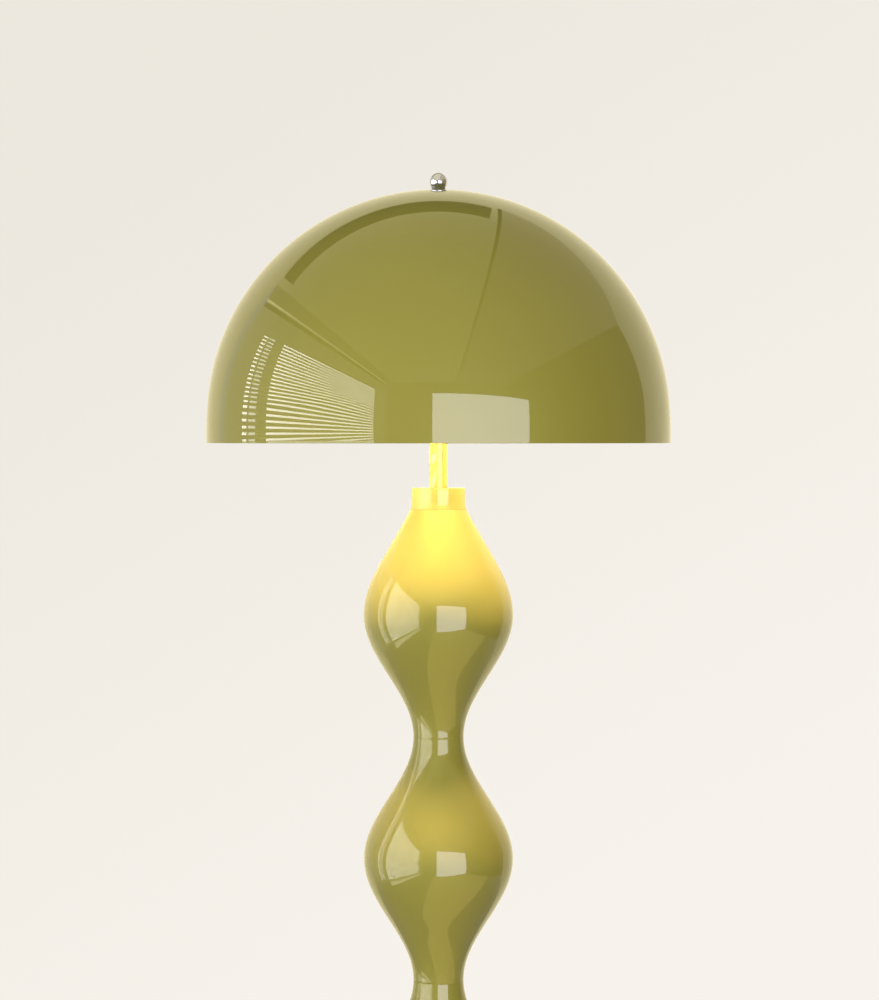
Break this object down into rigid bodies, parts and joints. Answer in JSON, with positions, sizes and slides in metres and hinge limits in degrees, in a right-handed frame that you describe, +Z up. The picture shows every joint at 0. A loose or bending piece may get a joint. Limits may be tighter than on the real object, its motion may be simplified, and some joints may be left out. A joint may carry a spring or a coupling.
{
  "type": "mushroom floor lamp",
  "caption": "Floor lamp with a domed shade lifted off a threaded pipe, a chrome ball finial, screw-in bulbs on a cluster and a wavy lacquered column clamped on a weighted bell foot.",
  "frame": {"origin": "on the floor, at the middle of the foot", "axes": "+Z up the column's axis, -Y the front, +Y the side with the cord inlet, +X to the right as seen from the front"},
  "size_m": [0.45, 0.45, 1.5024],
  "materials": {
    "olive_lacquer": "high-gloss olive lacquer",
    "chrome": "polished chrome",
    "clear_nylon": "translucent nylon",
    "bare_steel": "zinc-plated steel",
    "satin_nickel": "satin nickel",
    "yellow_zinc": "yellow zinc on threaded tube",
    "black_steel": "black powder coat",
    "cast_iron": "primed casting",
    "black_foam": "closed-cell foam",
    "black_nylon": "moulded nylon",
    "terminal_white": "moulded connector body",
    "cable_white": "smooth cable sheath",
    "holder_white": "moulded lampholder",
    "holder_ceramic": "glazed insert",
    "pressed_brass": "pressed brass",
    "bulb_metal": "rolled screw cap",
    "bulb_plastic": "moulded housing",
    "bulb_opal": "opal diffuser, lit"
  },
  "bodies": {
    "stand": {"base_plate": "black_steel", "base_weight": "cast_iron", "centre_contacts": "pressed_brass", "centring_ring_1": "black_nylon", "centring_ring_2": "black_nylon", "centring_ring_3": "black_nylon", "centring_ring_4": "black_nylon", "clamp_nut": "bare_steel", "clamp_washer": "bare_steel", "cluster_hub": "satin_nickel", "column_shell_1": "olive_lacquer", "column_shell_2": "olive_lacquer", "column_shell_3": "olive_lacquer", "column_top_shell": "olive_lacquer", "cord_gland": "black_nylon", "floor_pad": "black_foam", "foot_shell": "olive_lacquer", "gland_nut": "bare_steel", "holder_cap_1": "holder_white", "holder_cap_2": "holder_white", "holder_cap_3": "holder_white", "holder_insert_1": "holder_ceramic", "holder_insert_2": "holder_ceramic", "holder_insert_3": "holder_ceramic", "holder_sleeve_1": "holder_white", "holder_sleeve_2": "holder_white", "holder_sleeve_3": "holder_white", "hub_lid": "satin_nickel", "lamp_arms": "yellow_zinc", "lamp_leads": "cable_white", "mains_cable": "cable_white", "mast_joiner": "bare_steel", "mast_lower": "bare_steel", "mast_socket": "black_steel", "mast_upper": "olive_lacquer", "neck_collar": "olive_lacquer", "pipe_nuts": "yellow_zinc", "screw_shells": "pressed_brass", "seat_flange": "satin_nickel", "socket_screws": "bare_steel", "terminal_block": "terminal_white", "terminal_screw": "bare_steel", "top_pipe": "yellow_zinc", "weight_screws": "bare_steel", "wire_connector": "terminal_white"},
    "shade": {"shade": "olive_lacquer"},
    "finial_washer": {"finial_washer": "clear_nylon"},
    "finial": {"finial": "chrome"},
    "bulb_1_contact": {"bulb_contact_1": "pressed_brass"},
    "bulb_1": {"bulb_cap_1": "bulb_metal", "bulb_housing_1": "bulb_plastic", "bulb_globe_1": "bulb_opal"},
    "bulb_2_contact": {"bulb_contact_2": "pressed_brass"},
    "bulb_2": {"bulb_cap_2": "bulb_metal", "bulb_housing_2": "bulb_plastic", "bulb_globe_2": "bulb_opal"},
    "bulb_3_contact": {"bulb_contact_3": "pressed_brass"},
    "bulb_3": {"bulb_cap_3": "bulb_metal", "bulb_housing_3": "bulb_plastic", "bulb_globe_3": "bulb_opal"}
  },
  "joints": [
    {"name": "shade_lift", "type": "slide", "parent": "stand", "child": "shade", "axis": [0, 0, 1], "range_m": [0, 0.26]},
    {"name": "finial_travel", "type": "slide", "parent": "shade", "child": "finial_washer", "axis": [0, 0, 1], "range_m": [0, 0.009]},
    {"name": "finial_turn", "type": "hinge", "parent": "finial_washer", "child": "finial", "pos_m": [0, 0, 1.49363], "axis": [0, 0, 1], "range_deg": [0, 3240]},
    {"name": "bulb_1_travel", "type": "slide", "parent": "stand", "child": "bulb_1_contact", "axis": [0, 0.9659, 0.2588], "range_m": [0, 0.01815]},
    {"name": "bulb_1_turn", "type": "hinge", "parent": "bulb_1_contact", "child": "bulb_1", "pos_m": [0, 0.06134, 1.32664], "axis": [0, 0.9659, 0.2588], "range_deg": [0, 1800]},
    {"name": "bulb_2_travel", "type": "slide", "parent": "stand", "child": "bulb_2_contact", "axis": [-0.8365, -0.483, 0.2588], "range_m": [0, 0.01815]},
    {"name": "bulb_2_turn", "type": "hinge", "parent": "bulb_2_contact", "child": "bulb_2", "pos_m": [-0.05312, -0.03067, 1.32664], "axis": [-0.8365, -0.483, 0.2588], "range_deg": [0, 1800]},
    {"name": "bulb_3_travel", "type": "slide", "parent": "stand", "child": "bulb_3_contact", "axis": [0.8365, -0.483, 0.2588], "range_m": [0, 0.01815]},
    {"name": "bulb_3_turn", "type": "hinge", "parent": "bulb_3_contact", "child": "bulb_3", "pos_m": [0.05312, -0.03067, 1.32664], "axis": [0.8365, -0.483, 0.2588], "range_deg": [0, 1800]}
  ],
  "couplings": [
    {"joint": "finial_travel", "follows": "finial_turn", "m_per_rad": 0.00015915},
    {"joint": "bulb_1_travel", "follows": "bulb_1_turn", "m_per_rad": 0.00057757},
    {"joint": "bulb_2_travel", "follows": "bulb_2_turn", "m_per_rad": 0.00057757},
    {"joint": "bulb_3_travel", "follows": "bulb_3_turn", "m_per_rad": 0.00057757}
  ]
}
